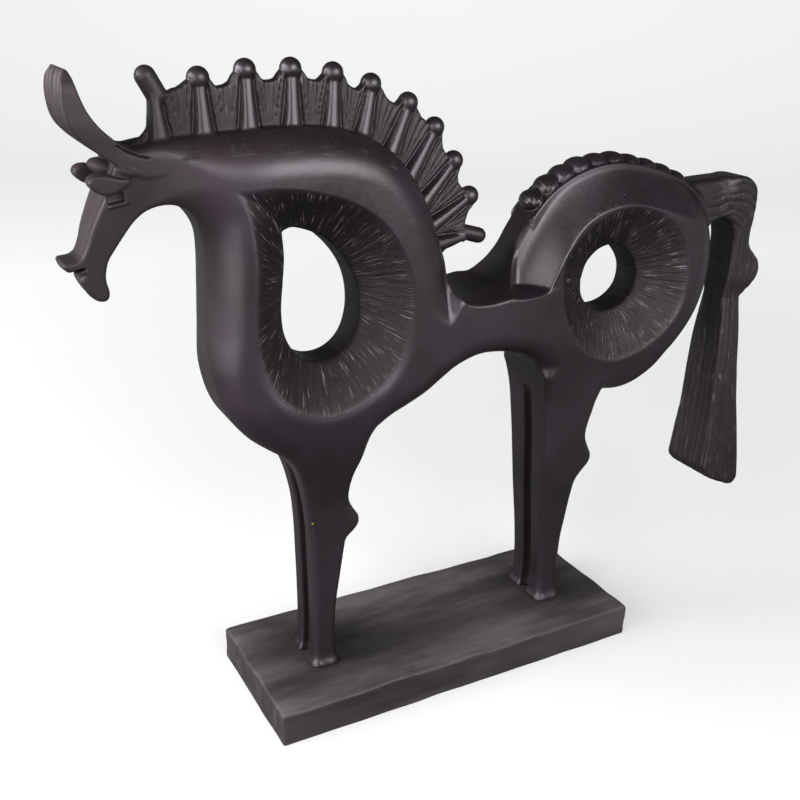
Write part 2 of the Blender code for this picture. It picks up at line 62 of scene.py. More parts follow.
# Side outline of head, body and legs, in runs that meet in corners. The legs run on below
# the plinth's top and are cut off just above it.
SOLE = -6.0
GAP_UNDER_FEET = 0.3
HEAD_FRONT = [(-176, 301.5), (-179.4, 295), (-183.5, 284), (-187.4, 276), (-191.3, 267.4),
              (-194, 260), (-197, 255.4), (-203.6, 254.3)]
UPPER_LIP = [(-203.6, 254.3), (-205.0, 252.2), (-200.7, 248.4), (-195.2, 247.2)]
JAW_CHEST_SHIN = [(-195.2, 247.2), (-197, 245.2), (-195.9, 241.8), (-192.9, 236.8),
                  (-188.8, 233.6), (-184.8, 233.9), (-183.7, 237.8), (-184.8, 242.3),
                  (-184.9, 247), (-183.2, 252), (-179.9, 257.6), (-175.4, 264.5),
                  (-171, 270.8), (-165.8, 275), (-159, 277), (-152.5, 276.6),
                  (-146.5, 273.5), (-141.4, 267.5), (-138.6, 260), (-137.9, 250),
                  (-138.5, 232), (-139.4, 206), (-137.8, 186), (-132.2, 168),
                  (-122.3, 154.3), (-111.3, 145), (-101, 137.6), (-94.7, 127), (-90, 109),
                  (-87.7, 90), (-86.6, 62), (-85.8, 25), (-86.4, 8), (-88.8, SOLE)]
FRONT_SOLE = [(-88.8, SOLE), (-70.5, SOLE)]
FRONT_CANNON = [(-70.5, SOLE), (-72.2, 8), (-72.2, 35.5), (-69, 59.5), (-66.8, 74),
                (-65.4, 80.5), (-60.4, 85), (-57.7, 89), (-57.7, 93), (-61, 98.5),
                (-63.9, 105), (-63.4, 114), (-60.4, 125.5), (-55.5, 137), (-49, 148.6)]
BELLY_HIND_SHIN = [(-49, 148.6), (-42, 154), (-33, 158.7), (-22, 164.8), (-13, 171.3),
                   (-4, 177), (9.6, 181.4), (22.9, 181.2), (34, 179), (46, 175),
                   (53.8, 168.5), (58.6, 159), (61.4, 147), (63.5, 130), (65.2, 112),
                   (67.6, 74), (70.2, 43), (71.4, 22), (71, 8), (69.3, SOLE)]
HIND_SOLE = [(69.3, SOLE), (88, SOLE)]
HIND_CANNON = [(88, SOLE), (85.9, 8), (85.7, 20), (86.4, 45), (87.8, 56), (90.4, 76),
               (92.4, 84.5), (97, 90.5), (101.2, 95.5), (101.8, 100.5), (98.8, 107),
               (96, 114), (96.7, 123), (100, 132.3), (107.5, 141.6)]
HAUNCH_BACK_NECK = [(107.5, 141.6), (120, 140.6), (134.3, 142.7), (150.6, 149.3),
                    (163.6, 159.3), (174.2, 173.3), (182, 190), (186, 209), (185, 229),
                    (179.5, 245), (170, 257), (158.8, 265), (147.8, 269.8), (135.8, 273.8),
                    (121.8, 277.3), (109.6, 279), (97, 278.6), (84, 276), (72.2, 271.3),
                    (61.5, 264.4), (53.2, 256), (45.6, 245.6), (39.2, 234.5), (34, 224.4),
                    (28.5, 216.6), (20, 214.2), (10, 213.6), (2, 214.5), (-4, 217),
                    (-8, 222), (-9.8, 230), (-11, 240), (-15, 253), (-21, 268),
                    (-28, 280), (-36, 290.5), (-47, 299), (-60, 304), (-75, 307),
                    (-90, 308), (-104, 308), (-120, 307), (-136, 306.2), (-157, 304.8),
                    (-170, 302.4), (-176, 301.5)]
SHOULDER_RIM = [(-127, 283.2), (-122.5, 273), (-119.8, 259), (-118.9, 243),
                (-120.2, 222), (-119.4, 202), (-114, 184.5), (-102.5, 171),
                (-87, 163.6), (-72, 164), (-56, 171.6), (-42.5, 185.5),
                (-35.6, 204), (-34.6, 225), (-40.5, 245.5), (-51.8, 262.3),
                (-67.6, 273.6), (-87, 280.6), (-107, 284), (-127, 283.2)]
SHOULDER_HOLE = [(-98.5, 258.5), (-97.6, 246), (-98.6, 233), (-99.8, 217), (-97.8, 203.5),
                 (-91.6, 193.6), (-81.9, 188.5), (-70.5, 189.5), (-61.5, 196.5),
                 (-56.9, 209), (-57, 222.6), (-60.5, 234.3), (-67.5, 245),
                 (-77.4, 254.2), (-87.3, 258.8), (-94.5, 260.2), (-98.5, 258.5)]
HAUNCH_RIM = [(60.7, 222), (64, 202.5), (73.6, 183.2), (88, 169.8), (108.3, 163),
              (129.2, 167.8), (145.7, 179.1), (155.4, 194), (157, 213), (151.6, 232.6),
              (139, 247.2), (120.5, 256), (101.5, 257), (84, 250.9), (70.5, 241),
              (62.8, 231.5), (60.7, 222)]
HAUNCH_HOLE = [(88.4, 212.6), (91.8, 222.8), (100.4, 229.9), (110.7, 231.3), (121, 226.6),
               (129.6, 214.3), (128.4, 201.7), (119, 193.6), (106.2, 191.7),
               (95.2, 196.6), (89.6, 204), (88.4, 212.6)]
# What the cove of the haunch runs round
HAUNCH_CENTRE = (115, 213)

# Dishes: rim, hole, half thickness at the hole, and what the scores fan out from
DISHES = ((SHOULDER_RIM, SHOULDER_HOLE, 9.0, (-79, 226)),
          (HAUNCH_RIM, HAUNCH_HOLE, 9.5, (109, 212)))

# Mane: middles of the knobs, lowest points of the web between them, feet of the pillars,
# and the web's other edges
KNOBS = [(-156.6, 331.6), (-134.4, 331.2), (-111.8, 334.2), (-88.9, 334.3), (-66.9, 331.8),
         (-46.2, 326.1), (-25.1, 316.4), (-9, 303.5), (3.3, 285.6), (14, 266.1),
         (18, 245.2)]
WEB_DIPS = [(-144.3, 327.6), (-123.5, 327.8), (-100.8, 329.5), (-77.8, 329.1),
            (-56.4, 324.8), (-35.2, 317.4), (-17.7, 309.3), (-4.2, 292.9), (6.2, 274.4),
            (12.4, 256)]
PILLAR_FEET = [(-154.5, 304), (-133.5, 306), (-111.5, 307), (-89.5, 307.5), (-69, 305),
               (-52.5, 300), (-37, 290.5), (-26, 277), (-18.5, 262.5), (-14, 250),
               (-11.5, 241)]
WEB_FRONT = [(-172, 298.5), (-168, 303.2), (-162.3, 306.6), (-159.3, 312), (-158.1, 319),
             (-158.3, 326.6)]
WEB_REAR = [(10, 241.8), (2, 238.7), (-4.5, 234.6), (-12, 229)]
WEB_ROOT = [(-20, 250), (-28, 266), (-38, 280), (-52, 290), (-70, 296), (-100, 299),
            (-140, 298), (-172, 297)]
WEB_BELOW_KNOB = 0.2
END_WEB_BELOW_KNOB = 6.5
WEB_SHOULDER = 4.7
WEB_HALF = 3.3
KNOB_RADIUS = 5.35
# Round fingers at the ends of the mane: start, end, radius and the start's share of it
FIRST_FINGER = ((-154.2, 324.6), (-158.6, 332.6), 4.9, 1.0)
LAST_FINGER = ((8, 247.5), (21.2, 243.6), 4.4, 0.95)

# Brow of each side, the crease from the forelock to the neck, and the eye's recess
BROW = [(-191.6, 290.4), (-190.2, 292.6), (-186.8, 293.6), (-182.4, 293.0), (-177.5, 291.6),
        (-172.6, 290.8), (-175.2, 287.6), (-179.0, 285.4), (-183.9, 284.3), (-188.0, 285.8),
        (-191.0, 288.4), (-191.6, 290.4)]
NECK_CREASE = [(-177.5, 305.4), (-173.5, 302.9), (-168.8, 300.7), (-163.8, 299.3)]
EYE = (-179.4, 282.3)
EYE_HALF = (3.7, 2.2)
EYE_TILT = 0.16

# Forelock: front and rear edges of the paddle
FORELOCK_FRONT = [(-196.6, 337.8), (-198.4, 334.6), (-199.3, 330), (-199.5, 325),
                  (-198.9, 318.9), (-197.3, 313.8), (-193.9, 309.2), (-188.5, 304.3),
                  (-182.6, 299.9), (-176, 295.2), (-166, 290.5)]
FORELOCK_REAR = [(-166, 290.5), (-156, 292), (-152, 297), (-160, 300.2), (-168, 301.8),
                 (-173.9, 304.7), (-179.8, 309.2), (-185.1, 314.5), (-188.6, 319.6),
                 (-190.8, 324.6), (-192.5, 329.8), (-193.6, 334.2), (-194.8, 337),
                 (-196.6, 337.8)]
# Tail, and tops of the beads on the haunch
TAIL_BACK = [(150, 250), (152, 262), (165, 263.6), (200, 265), (213.5, 263.8),
             (221, 257.6), (222.8, 247), (221.6, 221), (227, 214.4), (232, 208.8),
             (233.4, 201.5), (229.8, 194), (221, 185.5)]
TAIL_FALL = [(221, 185.5), (222, 168), (223, 148), (227.6, 110.5), (234.4, 61),
             (234.4, 54.4), (229.8, 50.4), (222, 53), (206, 61), (202, 66.4),
             (202.4, 74), (204, 100), (204.6, 140), (205.7, 185), (207, 215),
             (206, 229), (201, 237), (194.5, 239.6), (187, 237.5), (176, 228),
             (160, 228), (150, 250)]
BEAD_HALF = (7.2, 9.4, 4.9)
BEAD_TOPS = [(52.5, 264.5), (62.1, 271.9), (72.6, 277.6), (84, 281.9), (97, 283.6),
             (109.6, 284.2), (122.4, 282), (135.4, 278.8), (147.8, 274.9),
             (159.4, 270.2)]

# Pits in the horse: centre, half sizes and tilt. Pits in the plinth's top: place, reach and
# depth. Marks on the horse: place in metres, reach and colour.
PITS = (((-12.5, -17.0, 214.9), (2.6, 1.3, 1.1), 0.1), ((104, -20.5, 262.5), (0.7, 0.7, 0.7), 0.0),
        ((44.8, -14.0, 228.0), (0.6, 0.6, 0.6), 0.0), ((48.0, -18.0, 234.0), (0.5, 0.5, 0.5), 0.0),
        ((-137.0, -28.0, 246.0), (0.6, 0.6, 0.6), 0.0))
PLINTH_PITS = ((9.5, -37.5, 1.3, 1.1), (-34, -39.5, 1.0, 0.9), (-60, 5, 0.9, 0.8),
               (96, -30, 3.4, 1.2), (104, -26, 2.6, 1.0), (100, -35, 2.2, 0.9),
               (-96, -22, 0.9, 0.8), (38, 12, 1.0, 0.8), (-14, -10, 0.8, 0.7))
MARKS = (((0.0715, -0.021, 0.1785), 0.0011, (0.25, 0.19, 0.05, 1)),
         ((-0.0865, -0.014, 0.117), 0.0009, (0.20, 0.15, 0.04, 1)),
         ((0.1715, -0.020, 0.2835), 0.0022, (0.075, 0.055, 0.020, 1)))


def curve_through(points, step):
    """Evenly spaced points on a smooth curve through the given ones, ends included."""
    knots = np.array(points, float)
    padded = np.concatenate([2 * knots[:1] - knots[1:2], knots, 2 * knots[-1:] - knots[-2:-1]])
    dense = []
    for start in range(len(knots) - 1):
        p0, p1, p2, p3 = padded[start:start + 4]
        g0, g1, g2 = (max(float(np.hypot(*(b - a))) ** 0.5, 1e-6)
                      for a, b in ((p0, p1), (p1, p2), (p2, p3)))
        m1 = ((p1 - p0) / g0 - (p2 - p0) / (g0 + g1) + (p2 - p1) / g1) * g1
        m2 = ((p2 - p1) / g1 - (p3 - p1) / (g1 + g2) + (p3 - p2) / g2) * g1
        for t in np.linspace(0, 1, 12, endpoint=False):
            dense.append((2 * t**3 - 3 * t**2 + 1) * p1 + (t**3 - 2 * t**2 + t) * m1
                         + (3 * t**2 - 2 * t**3) * p2 + (t**3 - t**2) * m2)
    dense = np.array(dense + [knots[-1]])
    reach = np.concatenate([[0], np.cumsum(np.hypot(*np.diff(dense, axis=0).T))])
    even = np.linspace(0, reach[-1], max(2, int(round(reach[-1] / step)) + 1))
    return np.stack([np.interp(even, reach, dense[:, axis]) for axis in (0, 1)], 1)


def loop_through(*runs, step=2.0):
    """A closed loop of points along runs that meet in corners."""
    return np.concatenate([curve_through(run, step)[:-1] for run in runs])


def segment_distance(x, z, line, closed=True):
    """Distance to a line of points, where along it the nearest point lies, and inside or not."""
    shape = x.shape
    points = np.stack([x.ravel(), z.ravel()], 1).astype(np.float32)
    line = line.astype(np.float32)
    ends = np.roll(line, -1, axis=0) if closed else line[1:]
    line = line if closed else line[:-1]
    lengths = np.hypot(*(ends - line).T)
    starts = np.concatenate([[0], np.cumsum(lengths)[:-1]]).astype(np.float32)
    distance = np.empty(len(points), np.float32)
    where = np.empty(len(points), np.float32)
    inside = np.zeros(len(points), bool)
    ex, ez = (ends - line).T
    square = ex**2 + ez**2 + 1e-9
    safe = np.where(np.abs(ez) < 1e-9, 1e-9, ez)
    for first in range(0, len(points), 4000):
        px = points[first:first + 4000, 0, None]
        pz = points[first:first + 4000, 1, None]
        ox, oz = px - line[:, 0], pz - line[:, 1]
        t = np.clip((ox * ex + oz * ez) / square, 0, 1)
        gap = (ox - t * ex) ** 2 + (oz - t * ez) ** 2
        best = gap.argmin(1)
        rows = np.arange(len(best))
        distance[first:first + 4000] = np.sqrt(gap[rows, best])
        where[first:first + 4000] = starts[best] + t[rows, best] * lengths[best]
        if closed:
            crosses = (line[:, 1] > pz) != (ends[:, 1] > pz)
            hits = crosses & (px < line[:, 0] + (pz - line[:, 1]) * ex / safe)
            inside[first:first + 4000] = hits.sum(1) % 2 == 1
    return distance.reshape(shape), where.reshape(shape), inside.reshape(shape)


def signed(x, z, line, window=None):
    """Signed distance to a closed line, negative inside, exact only within the window."""
    if window is None:
        distance, _, inside = segment_distance(x, z, line)
        return np.where(inside, -distance, distance)
    low, high = line.min(0) - window, line.max(0) + window
    near = (x > low[0]) & (x < high[0]) & (z > low[1]) & (z < high[1])
    result = np.full(x.shape, window, np.float32)
    distance, _, inside = segment_distance(x[near], z[near], line)
    result[near] = np.where(inside, -distance, distance)
    return result


def ease(value, low, high):
    """0 below low, 1 above high, smooth between; low may be the larger."""
    share = np.clip((value - low) / (high - low), 0, 1)
    return share * share * (3 - 2 * share)


def bump(value, centre, reach):
    """A smooth bump of height 1 round a centre."""
    return np.exp(-(((value - centre) / reach) ** 2))


def join(a, b, k):
    """Union of two fields with a fillet of size k."""
    share = np.clip(0.5 + 0.5 * (b - a) / k, 0, 1)
    return b + (a - b) * share - k * share * (1 - share)


def cut(a, b, k):
    """What two fields share, with an edge rounded by size k."""
    return -join(-a, -b, k)


def plank(flat, across, radius):
    """Field of a slab from its side view's field and its field across, with round edges."""
    u, v = flat + radius, across + radius
    return np.minimum(np.maximum(u, v), 0) + np.hypot(np.maximum(u, 0), np.maximum(v, 0)) - radius


def waves(value, seed):
    """Uneven waves between -1 and 1, made of a few sines with seeded phases."""
    phase = np.random.default_rng(seed).uniform(0, 2 * math.pi, 4)
    total = np.zeros_like(value)
    for index, rate in enumerate((1.0, 1.73, 2.41, 0.53)):
        total += np.sin(rate * value + phase[index])
    return total / 3


def furrows(value, seed):
    """Narrow uneven furrows between broad backs: 1 in the deepest, 0 on the backs."""
    phase = np.random.default_rng(seed).uniform(0, 2 * math.pi, 3)
    bent = value + 0.55 * np.sin(0.37 * value + phase[0]) + 0.3 * np.sin(0.91 * value + phase[1])
    depth = 0.7 + 0.3 * np.sin(0.73 * value + phase[2])
    return depth * (1 - np.abs(np.sin(0.5 * bent))) ** 1.5


def turned(x, z, centre, tilt):
    """Place along and above a tilted axis through a centre of the side view."""
    dx, dz = x - centre[0], z - centre[1]
    return (dx * math.cos(tilt) + dz * math.sin(tilt),
            dz * math.cos(tilt) - dx * math.sin(tilt))


def egg(x, y, z, centre, half, tilt=0.0):
    """Field of an ellipsoid: centre and half sizes along x, across and up, tilt in radians."""
    u, w = turned(x, z, (centre[0], centre[2]), tilt)
    u, w = u / half[0], w / half[2]
    v = (y - centre[1]) / half[1]
    reach = np.sqrt(u * u + v * v + w * w)
    slope = np.sqrt((u / half[0]) ** 2 + (v / half[1]) ** 2 + (w / half[2]) ** 2)
    return reach * (reach - 1) / np.maximum(slope, 1e-3)


class Maps:
    """Everything about the side view that doesn't change across the horse."""

    def __init__(self, x, z):
        self.x, self.z = x, z
        self.body = signed(x, z, loop_through(
            HEAD_FRONT, UPPER_LIP, JAW_CHEST_SHIN, FRONT_SOLE, FRONT_CANNON, BELLY_HIND_SHIN,
            HIND_SOLE, HIND_CANNON, HAUNCH_BACK_NECK))
        self.widths()
        self.dishes()
        self.grooves()
        self.mane()
        self.forelock_and_tail()

    def widths(self):
        """Half width across, edge radius, and the cove that leaves the crest of the haunch."""
        x, z = self.x, self.z
        full = 16.5 + 14.5 * ease(x, -168, -98) - 5 * ease(x, 30, 84)
        full -= 8.5 * ease(z, 300, 232) * ease(x, -148, -168)
        fore = 15.5 * (1 + 0.3 * ease(z, 100, 145)) + 1.2 * ease(z, 9, 0)
        hind = 16.5 * (1 + 0.3 * ease(z, 20, 150)) + 1.2 * ease(z, 9, 0)
        rear = ease(x, -10, 20)
        leg = fore + (hind - fore) * rear
        full = leg + (full - leg) * ease(z, 118 + 16 * rear, 176 + 14 * rear)
        edge = 2.2 + 17.8 * ease(x, -168, -124)
        edge += (18 - edge) * ease(x, -112, -124) * ease(x, -164, -152) * ease(z, 272, 258)
        edge += (13 - edge) * ease(z, 215, 190)
        edge += (2.0 - edge) * ease(x, -14, -4) * ease(x, 70, 40) * ease(z, 195, 205)
        edge += (24 - edge) * ease(x, 104, 130) * ease(z, 140, 165)
        on_leg = np.maximum(ease(z, 148, 128),
                            ease(z, 168, 158) * ease(x, 40, 50) * ease(x, 95, 80))
        edge += (4 - edge) * on_leg
        self.full = full
        self.edge = np.minimum(edge, full - 0.6)
        angle = np.degrees(np.arctan2(z - HAUNCH_CENTRE[1], x - HAUNCH_CENTRE[0]))
        crest = ease(angle, 12, 62) * ease(x, 20, 42) * ease(z, 212.5, 217)
        share = np.clip(-self.body / 21, 0, 1)
        power = 1.25 + 0.7 * ease(x, 75, 45)
        cove = 10.5 + (full - 10.5) * share**power
        self.cove = full + 2.5 * (1 - crest) + (cove - full) * crest
        self.crest = crest

    def dishes(self):
        """Rim, hole, wall height and direction of each dish."""
        self.dish = []
        for rim, hole, wall, centre in DISHES:
            outer = signed(self.x, self.z, loop_through(rim), 40)
            inner = signed(self.x, self.z, loop_through(hole), 60)
            outside = np.maximum(inner, 0)
            inside = np.maximum(-outer, 0)
            slope = outside / np.maximum(outside + inside, 0.01)
            height = wall + (self.full - wall) * slope**0.92 + 0.8 * np.maximum(outer, 0)
            turn = np.arctan2(self.z - centre[1], self.x - centre[0])
            self.dish.append((outer, inner, height, turn))

    def grooves(self):
        """Half width of the grooves that part the legs of each pair, front and back."""
        self.groove = []
        for run, top, inward, depth in ((JAW_CHEST_SHIN, 131, 1, 7), (FRONT_CANNON, 76, -1, 3.5),
                                        (BELLY_HIND_SHIN, 158, 1, 7), (HIND_CANNON, 86, -1, 3.5)):
            line = curve_through(run, 2.0)
            line = line[line[:, 1] < top]
            line = line[np.argsort(line[:, 1])]
            into = inward * (self.x - np.interp(self.z, line[:, 1], line[:, 0]))
            reach = depth * ease(self.z, top, top - 22) + 0.05
            near = (into > -6) & (into < reach + 2) & (self.z < top)
            half = 4.25 * np.sqrt(np.clip(1 - 0.96 * (np.clip(into, 0, None) / reach) ** 2, 0, 1))
            self.groove.append(np.where(near, half - 0.6 * (into > reach), -5.0))

    def mane(self):
        """The web's outline and half width, with pillars, creases and fanned hair."""
        x, z = self.x, self.z
        stems = []
        for knob, foot in zip(KNOBS, PILLAR_FEET):
            drop = np.array(foot) - np.array(knob)
            drop = drop / np.hypot(*drop)
            below = END_WEB_BELOW_KNOB if knob in (KNOBS[0], KNOBS[-1]) else WEB_BELOW_KNOB
            centre = np.array(knob) + below * drop
            across = WEB_SHOULDER * np.array([-drop[1], drop[0]])
            stems.append((tuple(centre - across), tuple(centre + across)))
        top = [WEB_FRONT[-1], stems[0][1]]
        for dip, stem in zip(WEB_DIPS, stems[1:]):
            run = np.array(stem[0]) - np.array(top[-1])
            out = np.array([-run[1], run[0]]) / math.hypot(*run)
            top += [tuple(dip - 0.24 * run + 0.5 * out), dip, tuple(dip + 0.24 * run + 0.5 * out),
                    *stem]
        loop = loop_through(WEB_FRONT, top, [top[-1], *WEB_REAR],
                            [WEB_REAR[-1], *WEB_ROOT, WEB_FRONT[0]])
        self.web = signed(x, z, loop, 30)
        pillar = np.zeros_like(x)
        crease = np.zeros_like(x)
        shares, sides = [], []
        for knob, foot in zip(KNOBS, PILLAR_FEET):
            line = np.array(foot) - np.array(knob)
            share = ((x - knob[0]) * line[0] + (z - knob[1]) * line[1]) / (line @ line)
            side = ((x - knob[0]) * line[1] - (z - knob[1]) * line[0]) / math.hypot(*line)
            radius = 2.4 + 2.5 * np.clip(share, 0, 1.2) ** 1.6
            round_top = np.sqrt(np.clip(1 - (side / radius) ** 2, 0, 1))
            live = ease(share, -0.15, 0.05)
            proud = 0.5 + 3.5 * np.clip(share, 0, 1)
            pillar = np.maximum(pillar, round_top * proud * live)
            crease = np.maximum(crease, bump(np.abs(side), radius + 0.8, 0.9) * live)
            shares.append(share)
            sides.append(side)
        strand = np.zeros_like(x)
        self.fan = np.zeros_like(x)
        self.down = np.zeros_like(x)
        for index in range(len(KNOBS) - 1):
            left, right = -sides[index], sides[index + 1]
            within = (left > 0) & (right > 0)
            u = left / np.maximum(left + right, 0.1)
            v = np.clip((shares[index] + shares[index + 1]) / 2, 0, 1)
            fan = (u - 0.5) / (1 - 0.74 * v)
            sway = 0.5 * np.sin(5 * v + index) * (index > 4)
            hair = furrows(fan * (44 - 12 * (index > 4)) + 1.6 * sway, index)
            belly = 0.9 * (2 * u - 1) ** 2
            strand = np.where(within, belly - 0.9 * hair * ease(v, 1.0, 0.62), strand)
            self.fan = np.where(within, fan * 16 + sway + 9 * index, self.fan)
            self.down = np.where(within, v, self.down)
        calm = np.maximum(pillar > 0.1, crease > 0.6)
        self.hair = ease(self.web, 0.4, -1.2) * (self.down > 0) * ~calm
        self.web_half = WEB_HALF + pillar - 1.5 * crease + strand * ~calm

    def forelock_and_tail(self):
        """Outlines and half widths of the forelock, brow, neck crease and tail."""
        x, z = self.x, self.z
        self.lock = signed(x, z, loop_through(FORELOCK_FRONT, FORELOCK_REAR), 25)
        front, _, _ = segment_distance(x, z, curve_through(FORELOCK_FRONT, 2.0), False)
        rear, _, _ = segment_distance(x, z, curve_through(FORELOCK_REAR, 2.0), False)
        self.lock_front = ease(rear - front, -1.0, 2.5)
        self.lock_half = 16.7 + 1.8 * ease(z, 300, 316) - 5.2 * ease(z, 326, 339) ** 2
        self.brow = signed(x, z, loop_through(BROW), 12)
        self.lid, _, _ = segment_distance(x, z, curve_through(NECK_CREASE, 1.0), False)
        self.tail = signed(x, z, loop_through(TAIL_BACK, TAIL_FALL), 25)
        spread = np.clip((186 - z) / 128, 0, 1) ** 0.75
        half = 11.6 + 7.65 * spread - 1.4 * ease(z, 200, 186) * ease(z, 150, 186)
        half -= 3.2 * ease(z, 252, 266) * ease(x, 205, 195)
        arch = np.hypot((x - 197) / 1.25, z - 226)
        arch = arch + 1.1 * np.sin(x / 6 + 1.0) + 0.7 * np.sin(x / 2.9 + z / 5)
        fan = (x - 213) / (8.5 + 9 * np.clip((186 - z) / 128, 0, 1))
        self.tail_half = half - np.where(z > 232, 0.6 * furrows(arch * 1.3, 21),
                                         0.7 * furrows(fan * 14 + 0.4 * np.sin(z / 17), 22))


def field_slice(m, y):
    """The field at one place across the horse."""
    x, z = m.x, m.z
    far = abs(y)
    # Body with its cove, dishes and grooves
    nose = ease(x, -168, -176) * ease(z, 247, 254) * ease(z, 293, 285)
    shaped = m.body + 0.65 * nose * bump(far, 8.0, 3.6) * ease(m.body, -5, -1)
    body = plank(shaped, far - m.full, m.edge)
    body = cut(body, 0.8 * (far - m.cove), 0.5 + 2.5 * ease(x, 66, 50))
    seed = 3 if y < 0 else 8
    for number, (outer, inner, height, turn) in enumerate(m.dish):
        lines = furrows(turn * 52 + 0.02 * inner, seed + number)
        scored = 0.32 * lines * ease(outer, -0.5, -3) * ease(inner, 0.5, 3)
        crisp = 0.35 + 2.6 * ease(z, 230, 185) * (number == 0)
        body = cut(body, 0.75 * (far - height) + scored, crisp)
        body = cut(body, -inner, 1.3)
    for half in m.groove:
        body = cut(body, half - far, 1.4)

    # Mane
    web = plank(m.web, far - m.web_half, 1.8)
    result = join(body, web, 2.2)
    for kx, kz in KNOBS[1:-1]:
        knob = egg(x, y, z, (kx, 0, kz), (KNOB_RADIUS,) * 3)
        result = join(result, knob, 0.35)
    result = join(result, rod(x, y, z, *FIRST_FINGER), 0.7)
    result = join(result, rod(x, y, z, *LAST_FINGER), 1.2)

    # Beads along the haunch, and the ridge beside them
    band = np.array(BEAD_TOPS)
    lean = np.arctan2(np.gradient(band[:, 1]), np.gradient(band[:, 0]))
    beads = np.full_like(x, 50.0)
    length, across, height = BEAD_HALF
    for index, ((bx, bz), tilt) in enumerate(zip(band, lean)):
        centre = (bx + height * math.sin(tilt), 0, bz - height * math.cos(tilt))
        half = (length - 0.8 * (index == 0), across, height)
        bead = egg(x, y, z, centre, half, tilt + 0.2)
        if index < 3:
            along, _ = turned(x, z, (bx, bz), tilt)
            bead = bead + 0.5 * furrows(2.6 * along + 0.9 * far, 40)
        beads = join(beads, bead, 0.35)
    result = join(result, beads, 0.4)
    ridge = plank(np.maximum(m.body - 0.5, -4 - m.body), abs(far - 10.3) - 1.0, 0.9)
    result = np.where((m.crest > 0.3) & (x > 50), join(result, ridge, 1.0), result)

    # Forelock, the crease behind it, and the tail
    fluted = 1.5 * m.lock_front * (bump(far, 5.0, 2.1) + bump(far, 11.6, 2.0))
    result = join(result, plank(m.lock + fluted, far - m.lock_half, 1.2), 1.5)
    result = cut(result, -egg(x, y, z, (-193.2, -18.6, 336.4), (2.4, 5.0, 2.6)), 0.5)
    seam = np.hypot(m.lid, np.maximum(15.0 - far, 0)) - 0.35
    result = cut(result, -seam, 0.5)
    tail_flat = m.tail + 0.9 * furrows(far * 1.25 + 0.3 * np.sin(z / 19), 23) * ease(z, 192, 170)
    tail = plank(tail_flat, far - m.tail_half, 3.0)
    result = join(result, tail, 3.0)

    result = add_head(m, result, y)
    flare = 1 + 0.2 * waves(0.55 * x + 0.7 * y, 51)
    result = result - flare * ease(z, 5.5, GAP_UNDER_FEET)
    for spot, half, tilt in PITS:
        result = cut(result, -egg(x, y, z, spot, half, tilt), 0.3)
    return np.maximum(result, GAP_UNDER_FEET - z)


def add_head(m, result, y):
    """Brows, the lobe and hollows between them, eyes and mouth, the same on both sides."""
    x, z = m.x, m.z
    far = abs(y)
    lobe = egg(x, y, z, (-180.0, 0, 294.2), (7.6, 9.2, 3.9), -0.25)
    result = join(result, lobe, 1.0)
    between = egg(x, far, z, (-186.5, 9.6, 293.4), (5.2, 1.5, 3.4), 0.2)
    behind = egg(x, far, z, (-176.0, 12.6, 294.0), (4.2, 1.2, 2.2), 0.1)
    result = cut(cut(result, -between, 0.6), -behind, 0.5)
    brow = plank(m.brow, np.abs(far - 14.6) - 4.3 - 0.09 * (z - 289), 1.3)
    result = join(result, brow, 0.6)
    bud = egg(x, far, z, (-173.4, 15.2, 294.0), (4.8, 2.8, 2.4), -0.3)
    result = join(result, bud, 0.8)
    u, w = turned(x, z, EYE, EYE_TILT)
    outside = np.maximum(np.abs(u) - EYE_HALF[0], np.abs(w) - EYE_HALF[1])
    lid = plank(outside - 1.5, np.abs(far - 12.6) - 3.1, 0.9)
    lid = np.maximum(lid, w - 0.9 * (u + 0.5))
    result = join(result, lid, 0.6)
    result = cut(result, -np.maximum(outside, 11.0 - far), 0.5)
    mouth = egg(x, y, z, (-200.2, 0, 248.6), (7.0, 30.0, 0.9), 0.35)
    return cut(result, -mouth, 0.5)


def rod(x, y, z, start, end, radius, first):
    """Field of a round finger between two points of the side view, thinner at its start."""
    run, rise = end[0] - start[0], end[1] - start[1]
    share = np.clip(((x - start[0]) * run + (z - start[1]) * rise) / (run**2 + rise**2), 0, 1)
    gap = np.sqrt((x - start[0] - share * run) ** 2 + y * y + (z - start[1] - share * rise) ** 2)
    return gap - radius * (first + (1 - first) * share)


